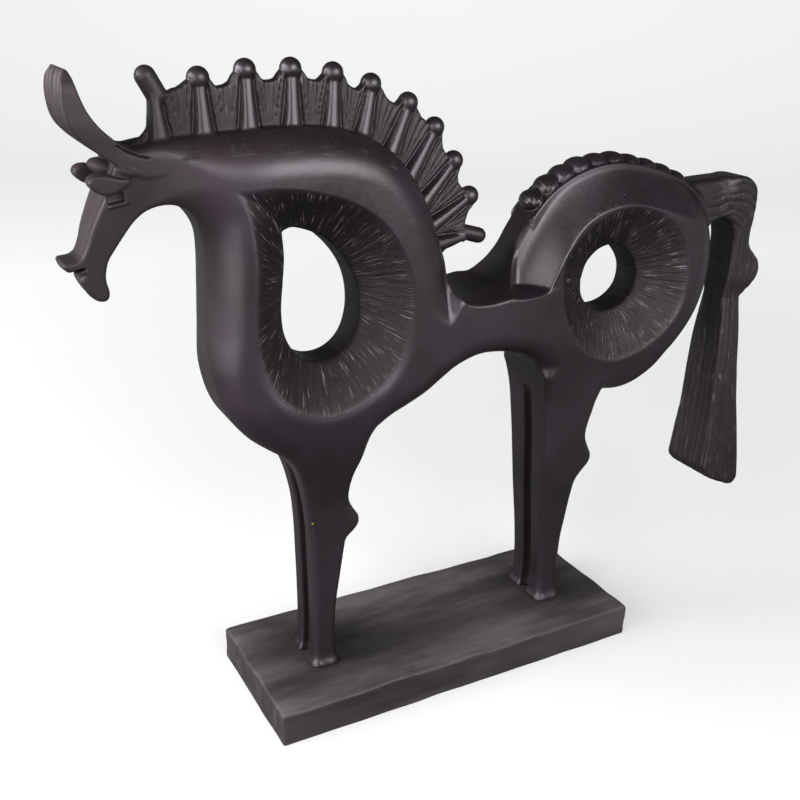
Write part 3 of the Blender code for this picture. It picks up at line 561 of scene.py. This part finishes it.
def surface_net(values, origin, step):
    """Points and four-sided faces of the zero surface of a field on a grid."""
    solid = values < 0
    count = np.zeros([n - 1 for n in values.shape], np.int8)
    corners = [(i, j, k) for i in (0, 1) for j in (0, 1) for k in (0, 1)]
    for i, j, k in corners:
        count += solid[i:i + count.shape[0], j:j + count.shape[1], k:k + count.shape[2]]
    cells = np.argwhere((count > 0) & (count < 8))
    number = np.full(count.shape, -1, np.int32)
    number[tuple(cells.T)] = np.arange(len(cells))
    total = np.zeros((len(cells), 3))
    weight = np.zeros(len(cells))
    for a in corners:
        for axis in range(3):
            if a[axis]:
                continue
            b = tuple(1 if i == axis else a[i] for i in range(3))
            va = values[tuple((cells + a).T)]
            vb = values[tuple((cells + b).T)]
            cross = (va < 0) != (vb < 0)
            share = np.where(cross, va / np.where(cross, va - vb, 1), 0)
            spot = np.array(a, float) + share[:, None] * (np.array(b) - np.array(a))
            total += spot * cross[:, None]
            weight += cross
    points = (cells + total / weight[:, None]) * step + origin
    faces = []
    for axis in range(3):
        low = [slice(1, -1)] * 3
        high = [slice(1, -1)] * 3
        low[axis] = slice(0, -1)
        high[axis] = slice(1, None)
        first, second = solid[tuple(low)], solid[tuple(high)]
        offset = np.array([1, 1, 1])
        offset[axis] = 0
        u, v = [i for i in range(3) if i != axis]
        for starts_inside in (True, False):
            mask = (first != second) & (first == starts_inside)
            edges = np.argwhere(mask) + offset
            ring = []
            for du, dv in ((-1, -1), (0, -1), (0, 0), (-1, 0)):
                cell = edges.copy()
                cell[:, u] += du
                cell[:, v] += dv
                ring.append(number[tuple(cell.T)])
            ring = np.stack(ring, 1)
            if (axis == 1) == starts_inside:
                ring = ring[:, ::-1]
            faces.append(ring)
    return points, np.concatenate(faces)


def sampled(values, points, origin, step):
    """Values of a grid at points between its own, on two or three axes."""
    place = (points - origin) / step
    base = np.clip(np.floor(place).astype(int), 0, np.array(values.shape) - 2)
    part = np.clip(place - base, 0, 1)
    total = 0
    axes = values.ndim
    for corner in range(2**axes):
        bits = np.array([(corner >> i) & 1 for i in range(axes)])
        share = np.prod(np.where(bits, part, 1 - part), axis=1)
        total = total + share * values[tuple((base + bits).T)]
    return total


def mesh_object(name, points, faces):
    """A mesh object from arrays, in metres."""
    mesh = bpy.data.meshes.new(name)
    mesh.vertices.add(len(points))
    mesh.vertices.foreach_set("co", points.astype(np.float32).ravel())
    mesh.loops.add(faces.size)
    mesh.loops.foreach_set("vertex_index", faces.astype(np.int32).ravel())
    mesh.polygons.add(len(faces))
    sides = faces.shape[1]
    mesh.polygons.foreach_set("loop_start", np.arange(0, faces.size, sides, dtype=np.int32))
    mesh.update(calc_edges=True)
    mesh.validate()
    thing = bpy.data.objects.new(name, mesh)
    bpy.context.scene.collection.objects.link(thing)
    return thing


def applied(thing):
    """Replace an object's mesh by the one its modifiers make."""
    bpy.context.view_layer.update()
    seen = thing.evaluated_get(bpy.context.evaluated_depsgraph_get())
    mesh = bpy.data.meshes.new_from_object(seen)
    thing.modifiers.clear()
    old = thing.data
    thing.data = mesh
    bpy.data.meshes.remove(old)


def surface_of(name, low, high, step, slice_at):
    """A mesh of a field's zero surface, thinned, with its points and the field's normals."""
    xs, ys, zs = (np.arange(a, b, step) for a, b in zip(low, high))
    values = np.empty((len(xs), len(ys), len(zs)), np.float32)
    for index, y in enumerate(ys):
        values[:, index] = slice_at(float(y))
    points, faces = surface_net(values, low, step)
    thing = mesh_object(name, points * MM, faces)
    thin = thing.modifiers.new("thin", "DECIMATE")
    thin.ratio = min(1.0, MOST_TRIANGLES / (2 * len(faces)))
    applied(thing)
    spots = np.empty(len(thing.data.vertices) * 3)
    thing.data.vertices.foreach_get("co", spots)
    spots = spots.reshape(-1, 3) / MM
    normals = np.stack([sampled(values, spots + shift, low, step)
                        - sampled(values, spots - shift, low, step)
                        for shift in np.eye(3) * 0.6 * step], 1)
    normals /= np.maximum(np.linalg.norm(normals, axis=1), 1e-6)[:, None]
    return thing, spots, normals


def side_grid(low, high, step):
    """Places of a grid's points in the side view."""
    return np.meshgrid(np.arange(low[0], high[0], step).astype(np.float32),
                       np.arange(low[2], high[2], step).astype(np.float32), indexing="ij")


def settle(thing, spots, normals, low, high):
    """Put a mesh's points in their place, within its box, and keep its normals."""
    spots = np.clip(spots, np.array(low) / MM, np.array(high) / MM) * MM
    thing.data.vertices.foreach_set("co", spots.ravel())
    thing.data.shade_smooth()
    thing.data.update()
    thing.data.normals_split_custom_set_from_vertices([tuple(n) for n in normals])


# Layers of the strands' flow, which keep their noise apart
DISH_LAYERS = (0.0, 9.0)
HAIR_LAYER = 21.0
TAIL_LAYER = 33.0


def build_horse():
    """The horse's fine surface, with what the finish needs kept on its points."""
    step = HORSE_STEP
    low = np.array([HORSE_LOW.x, HORSE_LOW.y, HORSE_LOW.z - PLINTH_TOP]) / MM - MARGIN * step
    high = np.array([HORSE_HIGH.x, HORSE_HIGH.y, HORSE_HIGH.z - PLINTH_TOP]) / MM + MARGIN * step
    maps = Maps(*side_grid(low, high, step))
    horse, spots, normals = surface_of("horse_surface", low, high, step,
                                       lambda y: field_slice(maps, y))
    side = spots[:, [0, 2]]
    across = np.abs(spots[:, 1])

    def on_points(values):
        return sampled(values, side, low[[0, 2]], step)

    flow = np.zeros((len(spots), 3))
    strands = np.zeros(len(spots))
    # Flow: across the strands, along them, and the layer
    for layer, (outer, inner, _, _), (_, _, _, centre) in zip(DISH_LAYERS, maps.dish, DISHES):
        depth = -on_points(outer)
        bore = on_points(inner)
        turn = np.arctan2(*(side - np.array(centre))[:, ::-1].T)
        on = (depth > 0.3) & (bore > -0.5) & (across < on_points(maps.full) + 1)
        flow[on] = np.stack([turn * 38, bore, np.full(len(turn), layer)], 1)[on]
        strands[on] = np.clip(depth[on] / 3, 0, 1)
    on_hair = on_points(maps.hair) > 0.6
    flow[on_hair] = np.stack([on_points(maps.fan), 30 * on_points(maps.down),
                              np.full(len(spots), HAIR_LAYER)], 1)[on_hair]
    strands[on_hair] = 0.55
    on_tail = (on_points(maps.tail) < 1.5) & (spots[:, 0] > 192)
    flow[on_tail] = np.stack([spots[:, 0] + spots[:, 1], spots[:, 2],
                              np.full(len(spots), TAIL_LAYER)], 1)[on_tail]
    strands[on_tail] = 0.5
    x, _, z = spots.T
    on_neck = ease(z, 292, 300) * ease(x, -20, -34) * ease(z - 0.2 * across, 326, 308)
    on_web = ease(on_points(maps.web), 0.5, -1.0)
    dust = ease(normals[:, 2], 0.1, 0.75) * np.maximum(on_neck * (1 - 0.6 * on_web), 0)
    dust = np.maximum(dust, 0.8 * ease(z, 291, 295) * ease(x, -170, -176) * ease(z, 304, 299))
    for name, kind, key, values in (("flow", "FLOAT_VECTOR", "vector", flow.ravel()),
                                    ("strands", "FLOAT", "value", strands),
                                    ("dust", "FLOAT", "value", dust)):
        horse.data.attributes.new(name, kind, "POINT").data.foreach_set(key, values)
    spots[:, 2] += PLINTH_TOP / MM
    settle(horse, spots, normals, HORSE_LOW, HORSE_HIGH)
    return horse


def plinth_slice(x, z, y, low, high):
    """The plinth's field at one place across it: a rough plank with worn, wavy edges."""
    middle, half = (low + high) / 2, (high - low) / 2
    px = np.abs(x - middle[0]) - half[0]
    py = abs(y - middle[1]) - half[1]
    pz = np.abs(z - middle[2]) - half[2]
    top = z > middle[2]
    edge = np.maximum(px, py)
    px = px + bump(px, 0, 6) * (0.35 + 0.35 * waves(z / 6 + y / 13, 34))
    py = py + (0.35 + 0.3 * waves(x / 12 + z / 7, 33)) * math.exp(-(py / 6) ** 2)
    worn = np.exp(-((edge / 4.5) ** 2)) * (0.5 + 0.5 * waves(x / 17 + y / 9, 31))
    grain = 0.16 * furrows(y * 1.9 + 1.3 * math.sin(y / 3) + np.sin(x / 33), 35)
    grain = grain * (0.35 + 0.65 * (np.sin(x / 21 + y / 9) > -0.2)) * ease(edge, 0, -5)
    pz = pz + top * (worn + grain + 0.12 * waves(x / 9 + y / 14, 36))
    radius = 1.6
    u, v, w = px + radius, py + radius, pz + radius
    result = np.minimum(np.maximum(np.maximum(u, v), w), 0) - radius + np.sqrt(
        np.maximum(u, 0) ** 2 + np.maximum(v, 0) ** 2 + np.maximum(w, 0) ** 2)
    for sx, sy, reach, deep in PLINTH_PITS:
        crater = egg(x, y, z, (sx, sy, high[2] + 0.25 * reach), (reach, reach, deep))
        result = cut(result, -crater, 0.4)
    return result


def build_plinth():
    """The plinth's fine surface."""
    step = PLINTH_STEP
    low, high = np.array(PLINTH_LOW) / MM, np.array(PLINTH_HIGH) / MM
    start, end = low - MARGIN * step, high + MARGIN * step
    x, z = side_grid(start, end, step)
    plinth, spots, normals = surface_of("plinth_surface", start, end, step,
                                        lambda y: plinth_slice(x, z, y, low, high))
    settle(plinth, spots, normals, PLINTH_LOW, PLINTH_HIGH)
    return plinth


# Colours of the horse's finish
CAST_DARK = (0.0060, 0.0046, 0.0058, 1)
CAST_LIGHT = (0.0145, 0.0092, 0.0135, 1)
DUST = (0.0150, 0.0125, 0.0090, 1)
# Painted shade for the dish walls, the mane's hair and the tail
PAINTED_SHADE = (0.0040, 0.0032, 0.0039, 1)
SCORE = (0.19, 0.165, 0.18, 1)
WORN = (0.026, 0.0215, 0.0225, 1)
# From where to where, along x, the head grows duller
HEAD_DULLS = (-0.125, -0.165)

# Colours of the plinth's finish, and the feet round which it has painted shade
PLANK_DARK = (0.020, 0.0185, 0.0190, 1)
PLANK_LIGHT = (0.042, 0.039, 0.040, 1)
PLANK_PATCH = (0.062, 0.056, 0.055, 1)
# Colours of the top: partly wiped dust, partly painted light where the top faces up
DUSTY_LIT_TOP_DARK = (0.034, 0.0330, 0.0325, 1)
DUSTY_LIT_TOP_LIGHT = (0.098, 0.095, 0.093, 1)
FOOT_SHADE = (0.014, 0.013, 0.013, 1)
FEET = ((-0.0796, 0.0, PLINTH_TOP), (0.0787, 0.0, PLINTH_TOP))


class Nodes:
    """Short ways to add and link shader nodes."""

    def __init__(self, name):
        self.material = bpy.data.materials.new(name)
        self.material.use_nodes = True
        self.tree = self.material.node_tree
        self.shader = self.tree.nodes["Principled BSDF"]

    def add(self, kind, values=None, **settings):
        node = self.tree.nodes.new(kind)
        for key, value in settings.items():
            setattr(node, key, value)
        for key, value in (values or {}).items():
            if isinstance(value, bpy.types.NodeSocket):
                self.tree.links.new(value, node.inputs[key])
            else:
                node.inputs[key].default_value = value
        return node.outputs[0]

    def place(self, output="Object"):
        return self.tree.nodes.new("ShaderNodeTexCoord").outputs[output]

    def distance(self, place, spot):
        node = self.add("ShaderNodeVectorMath", {0: place, 1: spot}, operation="DISTANCE").node
        return node.outputs["Value"]

    def math(self, operation, first, second=0.0, clamp=False):
        return self.add("ShaderNodeMath", {0: first, 1: second}, operation=operation,
                        use_clamp=clamp)

    def noise(self, vector, scale, detail=3.0, roughness=0.55):
        return self.add("ShaderNodeTexNoise", {"Vector": vector, "Scale": scale,
                                               "Detail": detail, "Roughness": roughness})

    def attribute(self, name, output):
        node = self.tree.nodes.new("ShaderNodeAttribute")
        node.attribute_name = name
        return node.outputs[output]

    def stretched(self, vector, scale):
        return self.add("ShaderNodeMapping", {"Vector": vector, "Scale": scale})

    def steps(self, value, low, high, out_low=0.0, out_high=1.0):
        return self.add("ShaderNodeMapRange", {"Value": value, "From Min": low, "From Max": high,
                                               "To Min": out_low, "To Max": out_high})

    def mix(self, share, first, second):
        node = self.tree.nodes.new("ShaderNodeMix")
        node.data_type = "RGBA"
        for socket, value in ((node.inputs[0], share), (node.inputs[6], first),
                              (node.inputs[7], second)):
            if isinstance(value, bpy.types.NodeSocket):
                self.tree.links.new(value, socket)
            else:
                socket.default_value = value
        return node.outputs[2]

    def link(self, output, name):
        self.tree.links.new(output, self.shader.inputs[name])


def horse_material():
    """Satin near-black casting: purple-brown cast, dusty neck, scored walls, painted shade on the
    dish walls, mane hair and tail, a duller head.
    """
    n = Nodes("horse_finish")
    place = n.place()
    flow = n.attribute("flow", "Vector")
    strands = n.attribute("strands", "Fac")
    dust = n.attribute("dust", "Fac")
    cloud = n.noise(place, 16, 4)
    fine = n.noise(place, 520, 3)
    grain = n.noise(place, 1700, 2)
    base = n.mix(n.steps(cloud, 0.35, 0.68), CAST_DARK, CAST_LIGHT)
    dusty = n.math("MULTIPLY", dust, n.steps(n.noise(place, 75, 6, 0.65), 0.25, 0.7), True)
    base = n.mix(dusty, base, DUST)
    # Painted shade: the dish walls, the mane's hair and the tail are darkened by their strands
    # share
    base = n.mix(n.math("MULTIPLY", strands, 0.7), base, PAINTED_SHADE)
    scratch = n.noise(n.stretched(flow, (1.5, 0.07, 1.0)), 1.0, 4, 0.62)
    patch = n.steps(n.noise(n.stretched(flow, (0.10, 0.12, 1.0)), 1.0, 2), 0.42, 0.6)
    scored = n.math("MULTIPLY", n.steps(scratch, 0.57, 0.66),
                    n.math("MULTIPLY", patch, strands), True)
    base = n.mix(n.math("MULTIPLY", scored, 0.85), base, SCORE)
    for spot, reach, colour in MARKS:
        shift = n.math("MULTIPLY", n.math("SUBTRACT", n.noise(place, 260, 2), 0.5), 1.6 * reach)
        away = n.math("ADD", n.distance(place, spot), shift)
        base = n.mix(n.steps(away, reach, 0.45 * reach), base, colour)
    along = n.add("ShaderNodeSeparateXYZ", {0: place})
    worn = n.steps(along, *HEAD_DULLS)
    base = n.mix(n.math("MULTIPLY", worn, n.steps(cloud, 0.2, 0.6, 0.25, 0.8)), base, WORN)
    n.link(base, "Base Color")
    deep = n.math("MULTIPLY", strands, 0.12)
    rough = n.steps(n.math("ADD", cloud, n.math("MULTIPLY", fine, 0.35)), 0.4, 0.95, 0.32, 0.44)
    rough = n.math("ADD", n.math("ADD", rough, deep), n.math("MULTIPLY", dusty, 0.3))
    n.link(n.math("ADD", rough, n.math("MULTIPLY", worn, 0.14)), "Roughness")
    dull = n.math("ADD", n.math("MULTIPLY", strands, 0.22), n.math("MULTIPLY", worn, 0.28), True)
    dull = n.math("ADD", dull, n.math("MULTIPLY", dusty, 0.34))
    n.link(n.math("MAXIMUM", n.math("SUBTRACT", 0.5, dull), 0.14), "Specular IOR Level")
    height = n.math("ADD", n.math("MULTIPLY", fine, 0.5), n.math("MULTIPLY", grain, 0.25))
    height = n.math("ADD", height, n.math("MULTIPLY", n.noise(place, 110, 2), 0.8))
    skin = n.add("ShaderNodeBump", {"Strength": 0.28, "Distance": 0.0004, "Height": height})
    lines = n.math("MULTIPLY", scratch, strands)
    scores = n.add("ShaderNodeBump", {"Strength": 0.55, "Distance": 0.0012, "Height": lines,
                                      "Normal": skin})
    n.link(scores, "Normal")
    return n.material


def plinth_material():
    """Dark plank: streaks along its length, small pits, a top painted lighter where it faces up,
    partly wiped dust and partly painted light, and painted shade round the feet.
    """
    n = Nodes("plinth_finish")
    place = n.place()
    streaks = n.noise(n.stretched(place, (7, 120, 60)), 1.0, 5, 0.6)
    cloud = n.noise(n.stretched(place, (1, 2.2, 1)), 20, 4)
    base = n.mix(n.steps(streaks, 0.38, 0.68), PLANK_DARK, PLANK_LIGHT)
    base = n.mix(n.math("MULTIPLY", n.steps(cloud, 0.52, 0.78), 0.6), base, PLANK_PATCH)
    # Where it faces up, the top is painted lighter: partly wiped dust, partly painted light
    facing = n.add("ShaderNodeSeparateXYZ", {0: n.place("Normal")}).node
    upward = n.steps(facing.outputs["Z"], 0.6, 0.95)
    wiped = n.noise(n.stretched(place, (9, 42, 60)), 1.0, 4, 0.62)
    top = n.mix(n.steps(wiped, 0.36, 0.64), DUSTY_LIT_TOP_DARK, DUSTY_LIT_TOP_LIGHT)
    base = n.mix(n.math("MULTIPLY", upward, 0.75), base, top)
    # Painted shade round the feet, where they stand on the plinth
    for foot in FEET:
        shift = n.math("MULTIPLY", n.math("SUBTRACT", wiped, 0.5), 0.06)
        away = n.math("ADD", n.distance(place, foot), shift)
        base = n.mix(n.math("MULTIPLY", n.steps(away, 0.058, 0.018), 0.8), base, FOOT_SHADE)
    n.link(base, "Base Color")
    rough = n.steps(n.math("ADD", streaks, n.math("MULTIPLY", cloud, 0.6)), 0.55, 1.1, 0.42, 0.58)
    n.link(n.math("ADD", rough, n.math("MULTIPLY", upward, 0.08)), "Roughness")
    n.shader.inputs["Specular IOR Level"].default_value = 0.32
    pits = n.add("ShaderNodeTexVoronoi", {"Vector": place, "Scale": 230}, feature="F1")
    few = n.steps(n.noise(place, 30, 2), 0.52, 0.6)
    pit = n.math("MULTIPLY", n.math("SUBTRACT", 1.0, n.steps(pits, 0.04, 0.17)), few)
    height = n.math("ADD", n.math("MULTIPLY", streaks, 1.1),
                    n.math("MULTIPLY", n.noise(place, 520, 3), 0.5))
    height = n.math("SUBTRACT", height, pit)
    n.link(n.add("ShaderNodeBump", {"Strength": 0.4, "Distance": 0.0006, "Height": height}),
           "Normal")
    return n.material


# Camera, as found from the plinth's corners: its turns, its place over the plinth's top, and
# its lens in millimetres
CAMERA_YAW = math.radians(28.824)
CAMERA_PITCH = math.radians(22.520)
CAMERA_ROLL = math.radians(1.270)
CAMERA_SPOT = Vector((-0.28805, -0.47678, 0.37865))
CAMERA_LENS = 46.74

# The floor runs back, bends up and ends, in metres; its glow, near and far from the statue
FLOOR_FRONT, FLOOR_BEND, BEND_RADIUS, WALL_TOP = -4.0, 1.6, 0.8, 4.0
FLOOR_HALF = 6
FLOOR_GLOW = (0.42, 0.72)
GLOW_CENTRE = (0.2, 0.0, 0.0)
FLOOR_COLOURS = ((0.335, 0.355, 0.340, 1), (0.355, 0.375, 0.360, 1))
LAMP_COLOUR = (1.0, 0.91, 0.98)
# Brightness all round by height of the direction, from straight down to straight up
SKY = ((-1.0, 0.12), (-0.45, 0.20), (-0.18, 0.42), (0.0, 0.38), (0.22, 0.08), (1.0, 0.05))
# Lamps: name, place, what they face, size and power
LAMPS = (
    ("key", (-1.15, -0.60, 0.50), (-0.02, 0, 0.2), (0.8, 1.1), 18),
    ("left", (-1.20, 0.22, 0.66), (0.05, 0, 0.25), (0.9, 0.7), 32),
    ("upper", (0.14, -0.92, 0.60), (-0.1, 0, 0.28), (0.9, 0.6), 17),
)


def build_studio():
    """Pale floor that curves up behind the statue, with soft lamps."""
    profile = [(FLOOR_FRONT, 0.0), (FLOOR_BEND, 0.0)]
    profile += [(FLOOR_BEND + BEND_RADIUS * math.sin(a), BEND_RADIUS - BEND_RADIUS * math.cos(a))
                for a in np.linspace(0.1, math.pi / 2, 14)]
    profile += [(FLOOR_BEND + BEND_RADIUS, WALL_TOP)]
    solid = bmesh.new()
    rows = [[solid.verts.new((x, y, z)) for x in (-FLOOR_HALF, FLOOR_HALF)] for y, z in profile]
    for lower, upper in zip(rows, rows[1:]):
        solid.faces.new((lower[0], lower[1], upper[1], upper[0]))
    mesh = bpy.data.meshes.new("floor")
    solid.to_mesh(mesh)
    solid.free()
    mesh.shade_smooth()
    floor = bpy.data.objects.new("floor", mesh)
    floor.rotation_euler.z = -CAMERA_YAW
    bpy.context.scene.collection.objects.link(floor)
    n = Nodes("floor_paint")
    n.link(n.mix(n.noise(n.place(), 3.0, 2), *FLOOR_COLOURS), "Base Color")
    n.shader.inputs["Roughness"].default_value = 0.95
    n.shader.inputs["Specular IOR Level"].default_value = 0.0
    n.shader.inputs["Emission Color"].default_value = (1, 1, 1, 1)
    away = n.distance(n.place(), GLOW_CENTRE)
    n.link(n.steps(away, 0.05, 1.1, *FLOOR_GLOW), "Emission Strength")
    mesh.materials.append(n.material)
    floor.visible_diffuse = floor.visible_glossy = False

    for name, spot, aim, width, power in LAMPS:
        data = bpy.data.lights.new(name, "AREA")
        data.shape = "RECTANGLE"
        data.size, data.size_y = width
        data.energy = power
        data.color = LAMP_COLOUR
        lamp = bpy.data.objects.new(name, data)
        lamp.location = spot
        lamp.rotation_euler = (Vector(aim) - Vector(spot)).to_track_quat("-Z", "Y").to_euler()
        bpy.context.scene.collection.objects.link(lamp)
    world = bpy.data.worlds.new("studio")
    bpy.context.scene.world = world
    world.use_nodes = True
    tree = world.node_tree
    place = tree.nodes.new("ShaderNodeTexCoord")
    apart = tree.nodes.new("ShaderNodeSeparateXYZ")
    tree.links.new(place.outputs["Generated"], apart.inputs[0])
    height = tree.nodes.new("ShaderNodeMapRange")
    height.inputs["From Min"].default_value = -1.0
    tree.links.new(apart.outputs["Z"], height.inputs["Value"])
    ramp = tree.nodes.new("ShaderNodeValToRGB")
    tree.links.new(height.outputs[0], ramp.inputs[0])
    stops = ramp.color_ramp.elements
    while len(stops) < len(SKY):
        stops.new(0.5)
    for stop, (spot, value) in zip(stops, SKY):
        stop.position = 0.5 + 0.5 * spot
        stop.color = (value, value, 1.02 * value, 1)
    tree.links.new(ramp.outputs[0], tree.nodes["Background"].inputs["Color"])


def build_camera():
    """Camera at the photograph's place."""
    sy, cy = math.sin(CAMERA_YAW), math.cos(CAMERA_YAW)
    sp, cp = math.sin(CAMERA_PITCH), math.cos(CAMERA_PITCH)
    ahead = Vector((sy * cp, cy * cp, -sp))
    right = Vector((cy, -sy, 0))
    up = right.cross(ahead)
    sr, cr = math.sin(CAMERA_ROLL), math.cos(CAMERA_ROLL)
    across = cr * right + sr * up
    upright = cr * up - sr * right
    data = bpy.data.cameras.new("camera")
    data.lens = CAMERA_LENS
    data.sensor_width = 36
    data.clip_start = 0.02
    camera = bpy.data.objects.new("camera", data)
    turn = Matrix((across, upright, -ahead)).transposed().to_4x4()
    camera.matrix_world = Matrix.Translation(CAMERA_SPOT + Vector((0, 0, PLINTH_TOP))) @ turn
    bpy.context.scene.collection.objects.link(camera)
    bpy.context.scene.camera = camera


bpy.context.scene.view_settings.view_transform = "Standard"
build_camera()
build_studio()
horse = build_horse()
horse.data.materials.append(horse_material())
plinth = build_plinth()
plinth.data.materials.append(plinth_material())
for piece, node in ((horse, "horse"), (plinth, "plinth")):
    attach(piece, "root")
    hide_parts(node)
